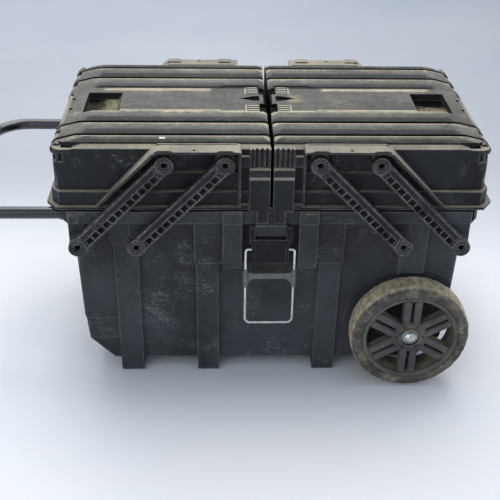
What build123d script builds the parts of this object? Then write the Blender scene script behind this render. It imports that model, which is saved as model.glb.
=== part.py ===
from build123d import *
import os
from math import asin, cos, hypot, radians, sin

os.makedirs("parts", exist_ok=True)

# A rolling cantilever toolbox: a deep lower bin on two wheels, two lidded top
# trays that swing apart on four pairs of parallel arms, a draw latch with a
# wire bail in the middle of the front, and a telescoping pull handle at the
# left end.  Millimetres, +X right, +Y back, +Z up, floor at Z = 0.

# ---------------------------------------------------------------- dimensions
X0 = 73.0  # the box's middle, right of the frame's origin, because the handle sticks out to the left
Z0 = 3.0  # heights below are counted from this level, and the feet reach down to -Z0

# lower bin
BIN_X, BIN_Y = 293.0, 152.0  # half sizes just under the rim
BIN_R = 15.0  # vertical corner radius
DRAFT = 2.0  # wall draft, degrees
FLOOR_Z = 20.0  # underside of the bin, above the feet
WALL = 3.1
RIM_X, RIM_Y = 305.0, 175.0  # half sizes of the rim band
RIM_Z0, RIM_Z1 = 283.0, 303.0

# arms
ARM_IN, ARM_OUT = 178.5, 190.0  # distance of the arm's two faces from the middle plane
LOWER_Z, UPPER_Z = 250.6, 382.0
LOWER_X = (195.0, 280.0)  # inner arm, outer arm
UPPER_X = (66.0, 151.0)
BOSS_R = 13.0
STUD_R = 9.2
STUD_RUN = 0.05  # radial running clearance on the studs
STUD_FREE = 0.30  # at the inner arms' upper pivots, the linkage's redundant pivot
ARM_W = 23.0

# top trays (the right one; the left is its mirror image)
TRAY_X0, TRAY_X1 = 3.0, 309.5
TRAY_Y = 164.0
TRAY_Z0, TRAY_Z1 = 304.5, 400.0
END_STEP_Z = 395.5  # the seam steps down to this near the hinge end
FLANGE_X, FLANGE_Y = 323.0, 175.0
BAND_X, BAND_Y = 314.5, 170.0

# lids
LID_X0, LID_X1 = 3.2, 303.0
LID_Y = 154.0
LID_TOP = 409.5
LID_GAP = 0.4
GROOVES_Y = (-134.5, -88.5, 93.7, 140.0)
HINGE_X, HINGE_Z = 307.5, 388.5
PIN_R = 2.0
LID_KNUCKLES = ((137.0, 161.0), (88.0, 112.0), (39.0, 63.0), (-102.0, -78.0), (-150.0, -126.0))
TRAY_KNUCKLES = ((112.6, 136.4), (63.6, 87.4), (-125.4, -102.6))

# latch
LATCH_Y, LATCH_Z = -178.0, 273.0  # lever hinge
BAIL_Y, BAIL_Z = -182.5, 245.0  # wire bail hinge, in the lever
BAIL_X = 36.0
BAIL_DROP = 130.0
WIRE_R = 2.0

# wheels
WHEEL_X, WHEEL_R = 221.0, 93.0
WHEEL_Z = WHEEL_R - Z0
AXLE_R = 6.0

# pull handle
TUBE_R, TUBE_WALL = 9.0, 1.3
TUBE_Y, TUBE_Z = 162.0, 295.0
TUBE_BEND = 55.0
CROSSBAR_X = -460.0
TUBE_END_X = 180.0


# ------------------------------------------------------------------- helpers
def front(y):
    """A sketch plane that faces the front: its x is X, its y is Z."""
    return Plane(origin=(X0, y, Z0), x_dir=(1, 0, 0), z_dir=(0, -1, 0))


def level(z):
    """A horizontal sketch plane."""
    return Plane(origin=(X0, 0, Z0 + z))


def side(x):
    """A sketch plane that faces right: its x is Y, its y is Z."""
    return Plane(origin=(X0 + x, 0, Z0), x_dir=(0, 1, 0), z_dir=(1, 0, 0))


MIDDLE = side(0)
# through the axle, for turned profiles: x is the radius, y is Y
WHEEL_PLANE = Plane(origin=(X0 + WHEEL_X, 0, WHEEL_R), x_dir=(0, 0, 1), z_dir=(-1, 0, 0))
WHEEL_AXIS = Axis((X0 + WHEEL_X, 0, WHEEL_R), (0, 1, 0))


def blocks(boxes, mode=Mode.ADD):
    """Rectangular blocks, each (x0, x1, y0, y1, z0, z1)."""
    for x0, x1, y0, y1, z0, z1 in boxes:
        with BuildSketch(level(min(z0, z1))) as sk:
            with Locations(((x0 + x1) / 2, (y0 + y1) / 2)):
                Rectangle(abs(x1 - x0), abs(y1 - y0))
        extrude(sk.sketch, amount=abs(z1 - z0), mode=mode)


def across(points, y0, y1, mode=Mode.ADD):
    """A closed outline in X and Z, run from y0 to y1."""
    with BuildSketch(front(max(y0, y1))) as sk:
        with BuildLine():
            Polyline(*points, close=True)
        make_face()
    extrude(sk.sketch, amount=abs(y1 - y0), mode=mode)


def along(points, x0, x1, mode=Mode.ADD):
    """A closed outline in Y and Z, run from x0 to x1."""
    with BuildSketch(side(min(x0, x1))) as sk:
        with BuildLine():
            Polyline(*points, close=True)
        make_face()
    extrude(sk.sketch, amount=abs(x1 - x0), mode=mode)


def upright(points, z0, z1, mode=Mode.ADD, taper=0.0):
    """A closed outline in X and Y, run up from z0 to z1."""
    with BuildSketch(level(min(z0, z1))) as sk:
        with BuildLine():
            Polyline(*points, close=True)
        make_face()
    extrude(sk.sketch, amount=abs(z1 - z0), taper=taper, mode=mode)


def rods_y(centres, r, y0, y1, mode=Mode.ADD):
    """Round rods along Y, centred at (x, z)."""
    with BuildSketch(front(max(y0, y1))) as sk:
        with Locations(*centres):
            Circle(r)
    extrude(sk.sketch, amount=abs(y1 - y0), mode=mode)


def rods_x(centres, r, x0, x1, mode=Mode.ADD):
    """Round rods along X, centred at (y, z)."""
    with BuildSketch(side(min(x0, x1))) as sk:
        with Locations(*centres):
            Circle(r)
    extrude(sk.sketch, amount=abs(x1 - x0), mode=mode)


def rods_z(centres, r, z0, z1, mode=Mode.ADD):
    """Round rods along Z, centred at (x, y)."""
    with BuildSketch(level(min(z0, z1))) as sk:
        with Locations(*centres):
            Circle(r)
    extrude(sk.sketch, amount=abs(z1 - z0), mode=mode)


def chamfered(x0, x1, y, cx, cy, both_ends=False):
    """A rectangle in plan with its right corners, or all four, cut off."""
    pts = [(x0 + cx, -y), (x0, -y + cy)] if both_ends else [(x0, -y)]
    pts += [(x0, y - cy), (x0 + cx, y)] if both_ends else [(x0, y)]
    pts += [(x1 - cx, y), (x1, y - cy), (x1, -y + cy), (x1 - cx, -y)]
    return pts


def save(name, part):
    part.label = name
    export_step(part, "parts/" + name + ".step")


# ------------------------------------------------------------------ bin body
# the space inside: drafted like the outside, narrowed by the two wheel wells
INNER_TOP = 312.0
with BuildPart() as bin_space:
    grow = (INNER_TOP - RIM_Z0) * 0.0349
    with BuildSketch(level(INNER_TOP)):
        RectangleRounded(2 * (BIN_X - WALL + grow), 2 * (BIN_Y - WALL + grow), BIN_R - WALL)
    extrude(amount=-(INNER_TOP - FLOOR_Z - WALL), taper=DRAFT)
    for s in (-1, 1):
        across(
            [(s * 300, 104), (s * 279.5, 104), (s * 276.3, 61), (s * 241.5, 24), (s * 241.5, 10), (s * 300, 10)],
            -170,
            170,
            mode=Mode.SUBTRACT,
        )
        rods_y([(WHEEL_X, WHEEL_Z)], 102.5, s * 140.5, s * 170, mode=Mode.SUBTRACT)
    rods_y([(WHEEL_X, WHEEL_Z)], 11.0, -170, 170, mode=Mode.SUBTRACT)

with BuildPart() as bin_body:
    with BuildSketch(level(RIM_Z0 + 2)):
        RectangleRounded(2 * BIN_X, 2 * BIN_Y, BIN_R)
    extrude(amount=-(RIM_Z0 + 2 - FLOOR_Z), taper=DRAFT)
    # the end walls step in and then turn under to the floor
    for s in (-1, 1):
        across(
            [(s * 310, 101), (s * 286.8, 101), (s * 283.5, 98), (s * 280, 59), (s * 243, FLOOR_Z), (s * 243, 10), (s * 310, 10)],
            -170,
            170,
            mode=Mode.SUBTRACT,
        )
    # pilasters, which run down past the floor and are the feet
    for y in (-1, 1):
        for x0, x1 in ((-233.5, -197.5), (-109.5, -76.0), (76.0, 109.5)):
            t = 1.5 if x0 < -200 else 0.0
            along([(y * 140, 262), (y * 161, 262), (y * 149.8, 1), (y * 146.2, -Z0), (y * 118, -Z0), (y * 110, 22), (y * 110, 30), (y * 140, 30)], x0 + t, x1 + t)
        # the wider upper halves of the two middle pilasters
        for x0, x1 in ((-112.0, -69.5), (69.5, 112.0)):
            along([(y * 145, RIM_Z0 + 1), (y * 163.5, RIM_Z0 + 1), (y * 160.0, 206.5), (y * 145, 206.5)], x0, x1)
        # upper pads over the outer pilasters, and the short one above the wheel
        along([(y * 145, RIM_Z0 + 1), (y * 163.0, RIM_Z0 + 1), (y * 161.0, 242), (y * 145, 242)], -236.0, -196.0)
        along([(y * 145, RIM_Z0 + 1), (y * 163.0, RIM_Z0 + 1), (y * 160.2, 190), (y * 145, 190)], 195.5, 236.5)
        # thin panel line along the lower left end
        along([(y * 140, 100), (y * 147.0, 100), (y * 145.2, 60), (y * 140, 60)], -279, -233)
    # rim band
    upright(chamfered(-RIM_X, RIM_X, RIM_Y, 13, 18, both_ends=True), RIM_Z0, RIM_Z1)
    # its underside slopes down to the end walls
    for s in (-1, 1):
        across([(s * 280, RIM_Z0 + 0.5), (s * (RIM_X - 0.6), RIM_Z0 + 0.5), (s * 292.4, 272), (s * 280, 272)], -155, 155)
    # round bosses for the arms' lower studs, the outer ones tied to the rim
    for y in (-1, 1):
        rods_y([(s * x, LOWER_Z) for s in (-1, 1) for x in LOWER_X], BOSS_R + 0.6, y * 140, y * 177.6)
        for s in (-1, 1):
            across([(s * 270, RIM_Z0 + 0.5), (s * 293.4, RIM_Z0 + 0.5), (s * 293.6, LOWER_Z), (s * 270, LOWER_Z)], y * 145, y * 171)
            across([(s * 183, RIM_Z0 + 0.5), (s * 207, RIM_Z0 + 0.5), (s * 207, LOWER_Z), (s * 183, LOWER_Z)], y * 145, y * 166)
    # latch posts and the hinge block between them
    for s in (-1, 1):
        along([(-145, 303), (-166, 303), (-176.4, 303), (-177.6, 306.0), (-181, 304.5), (-182, 303), (-181.6, 286), (-180.2, 285), (-179.0, 210), (-177.8, 209), (-145, 209)], s * 41.5, s * 69.5)
    along([(-172, 284), (-180.4, 284), (-181.4, 282.6), (-181.4, 267), (-180.4, 265.6), (-172, 265), (-150, 258), (-145, 258), (-145, 284)], -22.3, 22.3)
    # recessed panel behind the latch
    blocks([(-41.5, 41.5, -160.5, -145, 209, 284)])
    # lower panel edge under the latch posts
    along([(-140, 209.5), (-160.0, 209.5), (-157.0, 201), (-140, 201)], -69.5, 69.5)
    # wheel wells
    for y in (-1, 1):
        rods_y([(WHEEL_X, WHEEL_Z)], 99.0, y * 144.5, y * 177, mode=Mode.SUBTRACT)
        rods_y([(WHEEL_X, WHEEL_Z)], 19.0, y * 140, y * 147.0)
    # hollow it
    add(bin_space.part, mode=Mode.SUBTRACT)
    # the two handle channels, open on top, blind at the right end
    for y in (-1, 1):
        blocks([(-310, 299, y * 151.8, y * 172.2, RIM_Z0 + 1.8, RIM_Z1 + 5)], mode=Mode.SUBTRACT)
    # axle hole, stud sockets, latch pin hole
    rods_y([(WHEEL_X, WHEEL_Z)], AXLE_R + 0.02, -180, 180, mode=Mode.SUBTRACT)
    for y in (-1, 1):
        rods_y([(s * x, LOWER_Z) for s in (-1, 1) for x in LOWER_X], STUD_R, y * 168.0, y * 178.0, mode=Mode.SUBTRACT)
    rods_x([(LATCH_Y, LATCH_Z)], PIN_R + 0.02, -30, 30, mode=Mode.SUBTRACT)
save("bin_body", bin_body.part)


# ---------------------------------------------------------- studs of the arms
def stud(centres, y_root):
    """Split snap studs: a hollow shank with a lip that holds the arm on."""
    rods_y(centres, STUD_R, -y_root, -188.8)
    rods_y(centres, STUD_R + 0.9, -188.8, -190.3)
    rods_y(centres, 4.4, -y_root - 4, -192, mode=Mode.SUBTRACT)
    rods_y(centres, 6.6, -187.4, -192, mode=Mode.SUBTRACT)
    for x, z in centres:
        with BuildSketch(Plane(origin=(X0 + x, -184.5, Z0 + z), x_dir=(1, 0, 0), z_dir=(0, -1, 0))) as sk:
            with PolarLocations(9.2, 4, start_angle=45):
                Rectangle(6.0, 1.6)
        extrude(sk.sketch, amount=8, mode=Mode.SUBTRACT)


with BuildPart() as bin_arm_studs:
    stud([(s * x, LOWER_Z) for s in (-1, 1) for x in LOWER_X], 168.0)
    mirror(about=Plane.XZ)
save("bin_arm_studs", bin_arm_studs.part)


# --------------------------------------------------------------------- arms
def arm(low, high, low_r, high_r):
    """One front arm of the right side, from its lower to its upper pivot."""
    length = hypot(high[0] - low[0], high[1] - low[1])
    d = ((high[0] - low[0]) / length, (high[1] - low[1]) / length)
    n = (d[1], -d[0])  # towards the upper, outer edge
    if n[1] < 0:
        n = (-n[0], -n[1])

    def at(t, w):
        return (low[0] + d[0] * t + n[0] * w, low[1] + d[1] * t + n[1] * w)

    def strip(t0, t1, w0, w1, depth0, depth1, mode):
        across([at(t0, w0), at(t1, w0), at(t1, w1), at(t0, w1)], -depth0, -depth1, mode=mode)

    h = ARM_W / 2
    strip(0, length, -h, h, ARM_IN, ARM_OUT - 0.8, Mode.ADD)
    # raised edge rails
    strip(6, length - 6, h - 2.4, h, ARM_OUT - 1, ARM_OUT, Mode.ADD)
    strip(10, length - 10, -h, -h + 2.0, ARM_OUT - 1, ARM_OUT, Mode.ADD)
    rods_y([low, high], BOSS_R, -ARM_IN, -ARM_OUT)
    # smooth channel under the upper rail
    strip(15.5, length - 15.5, 1.2, h - 3.0, ARM_OUT - 3.2, ARM_OUT + 1, Mode.SUBTRACT)
    # ladder of pockets along the lower half
    first, pitch, count = 17.5, 12.4, 12
    for i in range(count):
        t = first + pitch * i
        strip(t, t + 9.4, -h + 2.4, -0.4, ARM_OUT - 8.5, ARM_OUT + 1, Mode.SUBTRACT)
        # each pocket has a sloped side
        a, b = at(t + 9.3, -h + 2.4), at(t + 9.3, -0.4)
        c, e = at(t + 11.2, -0.4), at(t + 11.2, -h + 2.4)
        across([a, b, c, e], -(ARM_OUT - 2.6), -(ARM_OUT + 1), mode=Mode.SUBTRACT)
    # small teeth in the upper rail
    for i in range(13):
        t = 16 + 12.4 * i
        strip(t, t + 3.0, h - 1.1, h + 1, ARM_OUT - 1.0, ARM_OUT + 1, Mode.SUBTRACT)
    # ring groove around each stud, then the stud holes
    rods_y([low, high], 11.5, -(ARM_OUT - 2.0), -(ARM_OUT + 1), mode=Mode.SUBTRACT)
    rods_y([low], low_r, -170, -195, mode=Mode.SUBTRACT)
    rods_y([high], high_r, -170, -195, mode=Mode.SUBTRACT)


with BuildPart() as right_inner_arm_front:
    arm((LOWER_X[0], LOWER_Z), (UPPER_X[0], UPPER_Z), STUD_R + STUD_RUN, STUD_R + STUD_FREE)
with BuildPart() as right_outer_arm_front:
    arm((LOWER_X[1], LOWER_Z), (UPPER_X[1], UPPER_Z), STUD_R + STUD_RUN, STUD_R + STUD_RUN)
with BuildPart() as right_inner_arm_rear:
    mirror(right_inner_arm_front.part, about=Plane.XZ)
with BuildPart() as right_outer_arm_rear:
    mirror(right_outer_arm_front.part, about=Plane.XZ)
with BuildPart() as left_inner_arm_front:
    mirror(right_inner_arm_front.part, about=MIDDLE)
with BuildPart() as left_outer_arm_front:
    mirror(right_outer_arm_front.part, about=MIDDLE)
with BuildPart() as left_inner_arm_rear:
    mirror(right_inner_arm_rear.part, about=MIDDLE)
with BuildPart() as left_outer_arm_rear:
    mirror(right_outer_arm_rear.part, about=MIDDLE)
save("right_inner_arm_front", right_inner_arm_front.part)
save("right_outer_arm_front", right_outer_arm_front.part)
save("right_inner_arm_rear", right_inner_arm_rear.part)
save("right_outer_arm_rear", right_outer_arm_rear.part)
save("left_inner_arm_front", left_inner_arm_front.part)
save("left_outer_arm_front", left_outer_arm_front.part)
save("left_inner_arm_rear", left_inner_arm_rear.part)
save("left_outer_arm_rear", left_outer_arm_rear.part)

# --------------------------------------------------------------------- trays
with BuildPart() as right_tray:
    # box
    with BuildSketch(level(TRAY_Z0)) as plan:
        with Locations(((TRAY_X0 + TRAY_X1) / 2, 0)):
            Rectangle(TRAY_X1 - TRAY_X0, 2 * TRAY_Y)
        fillet(plan.vertices().group_by(Axis.X)[-1], radius=13)
    extrude(amount=TRAY_Z1 - TRAY_Z0)
    # lower band and flange, each with a sloped top and cut corners
    upright(chamfered(TRAY_X0, BAND_X, BAND_Y, 11, 14), 306.5, 333)
    upright(chamfered(TRAY_X0, BAND_X, BAND_Y, 11, 14), 333, 338.5, taper=44)
    upright(chamfered(TRAY_X0, FLANGE_X, FLANGE_Y, 15, 21), 306.5, 311)
    upright(chamfered(TRAY_X0, FLANGE_X, FLANGE_Y, 15, 21), 311, 315, taper=44)
    for y in (-1, 1):
        # bevel along the top edge
        along([(y * 157, TRAY_Z1), (y * TRAY_Y, TRAY_Z1 - 3.2), (y * 200, TRAY_Z1 - 3.2), (y * 200, 410), (y * 157, 410)], TRAY_X0, 330, mode=Mode.SUBTRACT)
    # the seam steps down near the hinge end
    across([(268, TRAY_Z1), (282, END_STEP_Z), (330, END_STEP_Z), (330, 412), (268, 412)], -180, 180, mode=Mode.SUBTRACT)
    for y in (-1, 1):
        # corner notch with its small diamond ledge
        upright([(292.5, y * 165), (305.0, y * 150.5), (311, y * 150.5), (311, y * 165)], 376, 390.8, mode=Mode.SUBTRACT)
        rods_z([(301.8, y * 158.6)], 2.4, 375, 392)
        # cover over the arms: flat top, then a slope down to the flange
        hood = [(44, 401.2), (45.4, 403.0), (48.5, 403.6), (157, 403.6), (167.5, 400.2), (251.5, 311), (246.8, 311), (164.8, 397.4), (156, 400.4), (44, 400.4)]
        across(hood, y * 160, y * 190)
        across([(50, 404.6), (160, 404.6), (165, 400.5), (48, 400.5)], y * 162, y * 164.6)
        # low bumps over the two pivots
        for x in UPPER_X:
            across([(x - 13, 403.5), (x - 8, 405.6), (x + 8, 405.6), (x + 13, 403.5)], y * 175, y * 189.6)
        upright([(170, y * 190.2), (252, y * 175.4), (262, y * 175.4), (262, y * 195), (170, y * 195)], 306, 402, mode=Mode.SUBTRACT)
        rods_z([(109, y * 183)], 2.6, 395, 410, mode=Mode.SUBTRACT)
        # low inner wall of the arm recess
        blocks([(44, 47.2, y * 160, y * 177.4, 311, 401.2)])
        # recess above the ledge, between the two pivots
        across([(47.2, 361), (190, 361), (156, 400.4), (47.2, 400.4)], y * 160.2, y * 170, mode=Mode.SUBTRACT)
        # bosses under the upper studs
        rods_y([(x, UPPER_Z) for x in UPPER_X], BOSS_R + 0.4, y * 155, y * 177.6)
        # inner column: ribbed grip, lip, then a plain pad down to the flange
        blocks([(2.2, 32.0, y * 160, y * 167.0, 366, 399.6)])
        along([(y * 160, 371), (y * 171.0, 371), (y * 174.5, 369), (y * 174.5, 358), (y * 176.2, 356.5), (y * 177.4, 355), (y * 177.4, 305.2), (y * 160, 305.2)], 2.2, 32.0)
        # block and ledge in the gap beside the column
        blocks([(32, 44, y * 160, y * 170.5, 372, 388), (32, 44, y * 160, y * 175, 306.5, 315)])
        # ribs of the grip
        blocks([(x, x + 3.2, y * 166, y * 171.4, 370, 399.6) for x in (2.2, 9.4, 16.6, 23.8, 28.8)])
    # tabs in front of the hinge block
    blocks([(3.4, 21.2, -177.4, -175.6, 284.4, 306)])
    blocks([(3.4, 5.0, -177.9, -176, 284.4, 306), (19.6, 21.2, -177.9, -176, 284.4, 306), (3.4, 21.2, -177.9, -176, 284.4, 286)])
    # inside
    blocks([(6.2, 305.5, -160.4, 160.4, 308.7, 356)], mode=Mode.SUBTRACT)
    blocks([(9.0, 303.5, -147, 147, 307.2, 310)], mode=Mode.SUBTRACT)
    blocks([(6.2, 296.5, -157.2, 157.2, 350, 396)], mode=Mode.SUBTRACT)
    blocks([(12.0, 291.5, -150.5, 150.5, 390, 412)], mode=Mode.SUBTRACT)
    blocks([(6.2, 305.5, -157.2, 157.2, 350, 370)], mode=Mode.SUBTRACT)
    # the underside is raised over the bin's rim and its handle channels
    for y in (-1, 1):
        blocks([(0, 330, y * 150.5, y * 175.3, 303, 306.5)], mode=Mode.SUBTRACT)
    # hinge: room for the lid's knuckles, the tray's own knuckles, the pin hole
    for y0, y1 in LID_KNUCKLES:
        blocks([(299.0, 316, y0 - 0.5, y1 + 0.5, 381.8, 400)], mode=Mode.SUBTRACT)
    for y0, y1 in TRAY_KNUCKLES:
        blocks([(299.0, 316, y0, y1, 388.5, 400)], mode=Mode.SUBTRACT)
        across([(300, 372), (309, 372), (312.3, 384), (312.3, 388.5), (300, 388.5)], y0, y1)
        rods_y([(HINGE_X, HINGE_Z)], 5.0, y0, y1)
    rods_y([(HINGE_X, HINGE_Z)], PIN_R + 0.02, 36, 162, mode=Mode.SUBTRACT)
    rods_y([(HINGE_X, HINGE_Z)], PIN_R + 0.02, -151, -76, mode=Mode.SUBTRACT)
    # catches that the lid's edge snaps over
    blocks([(8.2, 11.8, 27, 42, 390, 403.4), (8.2, 11.8, -43, -26, 390, 403.4), (5, 12.2, 27, 42, 396, 400), (5, 12.2, -43, -26, 396, 400)])
    # stud sockets
    for y in (-1, 1):
        rods_y([(x, UPPER_Z) for x in UPPER_X], STUD_R, y * 168.0, y * 178.0, mode=Mode.SUBTRACT)
with BuildPart() as left_tray:
    mirror(right_tray.part, about=MIDDLE)
save("right_tray", right_tray.part)
save("left_tray", left_tray.part)

with BuildPart() as right_tray_studs:
    stud([(x, UPPER_Z) for x in UPPER_X], 168.0)
    mirror(about=Plane.XZ)
with BuildPart() as left_tray_studs:
    mirror(right_tray_studs.part, about=MIDDLE)
save("right_tray_studs", right_tray_studs.part)
save("left_tray_studs", left_tray_studs.part)

# ---------------------------------------------------------------------- lids
with BuildPart() as right_lid:
    with BuildSketch(level(END_STEP_Z + LID_GAP)) as plan:
        with Locations(((LID_X0 + LID_X1) / 2, 0)):
            Rectangle(LID_X1 - LID_X0, 2 * LID_Y)
        fillet(plan.vertices().group_by(Axis.X)[-1], radius=20)
    extrude(amount=LID_TOP - END_STEP_Z - LID_GAP)
    # underside, which follows the stepped seam
    across([(0, 390), (0, TRAY_Z1 + LID_GAP), (268, TRAY_Z1 + LID_GAP), (282, END_STEP_Z + LID_GAP), (282, 390)], -160, 160, mode=Mode.SUBTRACT)
    # bevels: outer end, inner end, front and back
    across([(262, LID_TOP), (LID_X1 + 1, 399.2), (LID_X1 + 1, 412), (262, 412)], -160, 160, mode=Mode.SUBTRACT)
    across([(14, LID_TOP), (2, 403.0), (2, 412), (14, 412)], -160, 160, mode=Mode.SUBTRACT)
    for y in (-1, 1):
        along([(y * 147, LID_TOP), (y * 151.5, 406.2), (y * 154.6, 402.4), (y * 160, 402.4), (y * 160, 412), (y * 147, 412)], 0, 320, mode=Mode.SUBTRACT)
    # grooves, with the ridges sloping down to them
    for yc in GROOVES_Y:
        along([(yc - 14.5, 410), (yc - 14, LID_TOP), (yc - 5.4, 406.6), (yc - 3.4, 405.2), (yc - 2.8, 403.2), (yc + 2.8, 403.2), (yc + 3.2, 405.2), (yc + 5.0, 406.6), (yc + 14, LID_TOP), (yc + 14.5, 410)], 0, 320, mode=Mode.SUBTRACT)
    # middle panel, wider near the latch end
    along([(-49.5, 410), (-49, LID_TOP), (-45.5, 406.4), (45.5, 406.4), (49, LID_TOP), (49.5, 410)], 0, 281, mode=Mode.SUBTRACT)
    upright([(0, -57.5), (66, -57.5), (77, -46), (77, 46), (66, 52), (0, 52)], 406.4, 412, mode=Mode.SUBTRACT)
    # finger pocket near the hinge end, with its inner wall sloped
    blocks([(217, 281, -57.5, 28.5, 392.6, 403)])
    across([(221, 410), (224, 407), (232, 395.2), (277, 395.2), (278.4, 410)], -54.5, 25.5, mode=Mode.SUBTRACT)
    # hollows under the ridges and the panel
    blocks(
        [
            (9, 262, -147.0, -139.7, 399, 404.0),
            (9, 262, -129.5, -93.5, 399, 404.6),
            (9, 214, -83.5, -61, 399, 404.4),
            (84, 214, -60, 60, 399, 403.4),
            (84, 214, 60, 89, 399, 404.4),
            (9, 84, 62, 89, 399, 404.4),
            (24, 84, -60, 60, 399, 402.2),
            (9, 262, 98.7, 135, 399, 404.6),
            (9, 262, 145, 147.5, 399, 404.0),
        ],
        mode=Mode.SUBTRACT,
    )
    # locating lip inside the tray's mouth
    for y in (-1, 1):
        blocks([(16, 264, y * 147.6, y * 149.8, 395.6, 401.5)])
    # latch end: two openings, the tongue between them, an arrow and two ribbed pads
    blocks([(0, 13.5, 20.5, 48.0, 398, 412), (0, 13.5, -50.5, -17.5, 398, 412)], mode=Mode.SUBTRACT)
    upright([(13.5, -6.5), (13.5, 13.5), (20, 12.5), (43, 4.3), (43, 2.7), (20, -5.5)], 403.6, 412, mode=Mode.SUBTRACT)
    for y0 in (22.5, 29.8, 37.1, 44.4):
        blocks([(15.5, 31, y0, y0 + 3.2, 406, 407.6)])
    for y0 in (-54.5, -46.4, -38.3, -30.2):
        blocks([(15.5, 31, y0, y0 + 3.4, 406, 407.6)])
    # short drain slots between the two groups of knuckles
    for yc in (12, -28):
        blocks([(295, 304, yc - 4, yc + 4, 397, 401)], mode=Mode.SUBTRACT)
    # knuckles
    for y0, y1 in LID_KNUCKLES:
        across([(299.8, 397.5), (304, 399.3), (312.4, 392.6), (312.7, 388.5), (303.2, 388.5), (299.8, 392)], y0, y1)
        rods_y([(HINGE_X, HINGE_Z)], 5.2, y0, y1)
        rods_y([(HINGE_X, HINGE_Z)], PIN_R + 0.05, y0 - 1, y1 + 1, mode=Mode.SUBTRACT)
with BuildPart() as left_lid:
    mirror(right_lid.part, about=MIDDLE)
save("right_lid", right_lid.part)
save("left_lid", left_lid.part)

with BuildPart() as right_lid_hinge_pins:
    rods_y([(HINGE_X, HINGE_Z)], PIN_R, 38.5, 161.5)
    rods_y([(HINGE_X, HINGE_Z)], PIN_R, -150.5, -77.5)
with BuildPart() as left_lid_hinge_pins:
    mirror(right_lid_hinge_pins.part, about=MIDDLE)
save("right_lid_hinge_pins", right_lid_hinge_pins.part)
save("left_lid_hinge_pins", left_lid_hinge_pins.part)

# --------------------------------------------------------------------- latch
with BuildPart() as main_latch:
    # two hinge ears either side of the bin's block
    for s in (-1, 1):
        rods_x([(LATCH_Y, LATCH_Z)], 9.4, s * 22.8, s * 31.0)
        along([(-169.5, 273), (-169.5, 262), (-176, 256), (-184.6, 256), (-187.2, 262), (-187.2, 273)], s * 22.8, s * 31.0)
    # lever, wider at the ears, with a hollow back
    with BuildSketch(front(-176.0)) as face:
        with BuildLine():
            Polyline((-31, 262.6), (-31, 259.5), (-27.2, 252), (-27.2, 206.5), (-25.5, 204.8), (25.5, 204.8), (27.2, 206.5), (27.2, 252), (31, 259.5), (31, 262.6), (-31, 262.6), close=False)
        make_face()
    extrude(amount=11.0)
    # sloping face, stepped bottom edge
    along([(-190, 266), (-186.2, 262), (-184.6, 224), (-190, 224)], -35, 35, mode=Mode.SUBTRACT)
    along([(-190, 221), (-184.0, 221), (-183.2, 218), (-183.2, 200), (-190, 200)], -35, 35, mode=Mode.SUBTRACT)
    for z in (216.2, 211.6, 207.6):
        blocks([(-21.5, 21.5, -186, -182.2, z - 1.1, z + 0.3)], mode=Mode.SUBTRACT)
    # side blocks
    blocks([(s * 22.6, s * 28.0, -186.4, -178, 213, 225) for s in (-1, 1)])
    # narrower raised middle
    blocks([(-22.4, 22.4, -186.0, -180, 222.6, 256)])
    blocks([(-21.5, 21.5, -180.8, -172, 209, 254)], mode=Mode.SUBTRACT)
    rods_x([(LATCH_Y, LATCH_Z)], PIN_R + 0.05, -35, 35, mode=Mode.SUBTRACT)
    rods_x([(BAIL_Y, BAIL_Z)], WIRE_R + 0.05, -35, 35, mode=Mode.SUBTRACT)
save("main_latch", main_latch.part)

with BuildPart() as latch_pin:
    rods_x([(LATCH_Y, LATCH_Z)], PIN_R, -31.0, 31.0)
save("latch_pin", latch_pin.part)

with BuildPart() as wire_bail:
    zb = BAIL_Z - BAIL_DROP
    with BuildLine(front(BAIL_Y)) as route:
        FilletPolyline((23, BAIL_Z), (BAIL_X, BAIL_Z), (BAIL_X, zb), (-BAIL_X, zb), (-BAIL_X, BAIL_Z), (-23, BAIL_Z), radius=[4.5, 8.5, 8.5, 4.5])
    with BuildSketch(Plane(origin=(X0 + 23, BAIL_Y, Z0 + BAIL_Z), z_dir=(1, 0, 0))):
        Circle(WIRE_R)
    sweep(path=route.line)
save("wire_bail", wire_bail.part)

with BuildPart() as bail_clip:
    for s in (-1, 1):
        rods_z([(s * BAIL_X, BAIL_Y)], 3.6, 180.5, 210.0)
    across([(-36, 206), (-30, 203.6), (-24, 202.6), (24, 202.6), (30, 203.6), (36, 206), (36, 183), (33.5, 183), (27.5, 191.5), (24, 193), (-24, 193), (-27.5, 191.5), (-33.5, 183), (-36, 183)], -177.6, -181.6)
    for s in (-1, 1):
        rods_z([(s * BAIL_X, BAIL_Y)], WIRE_R, 170, 220, mode=Mode.SUBTRACT)
save("bail_clip", bail_clip.part)

# -------------------------------------------------------------------- wheels
def on_wheel(angle, r, w):
    """A point in X and Z at radius r along a spoke, w to its side."""
    a = radians(angle)
    return (WHEEL_X + cos(a) * r - sin(a) * w, WHEEL_Z + sin(a) * r + cos(a) * w)


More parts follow.
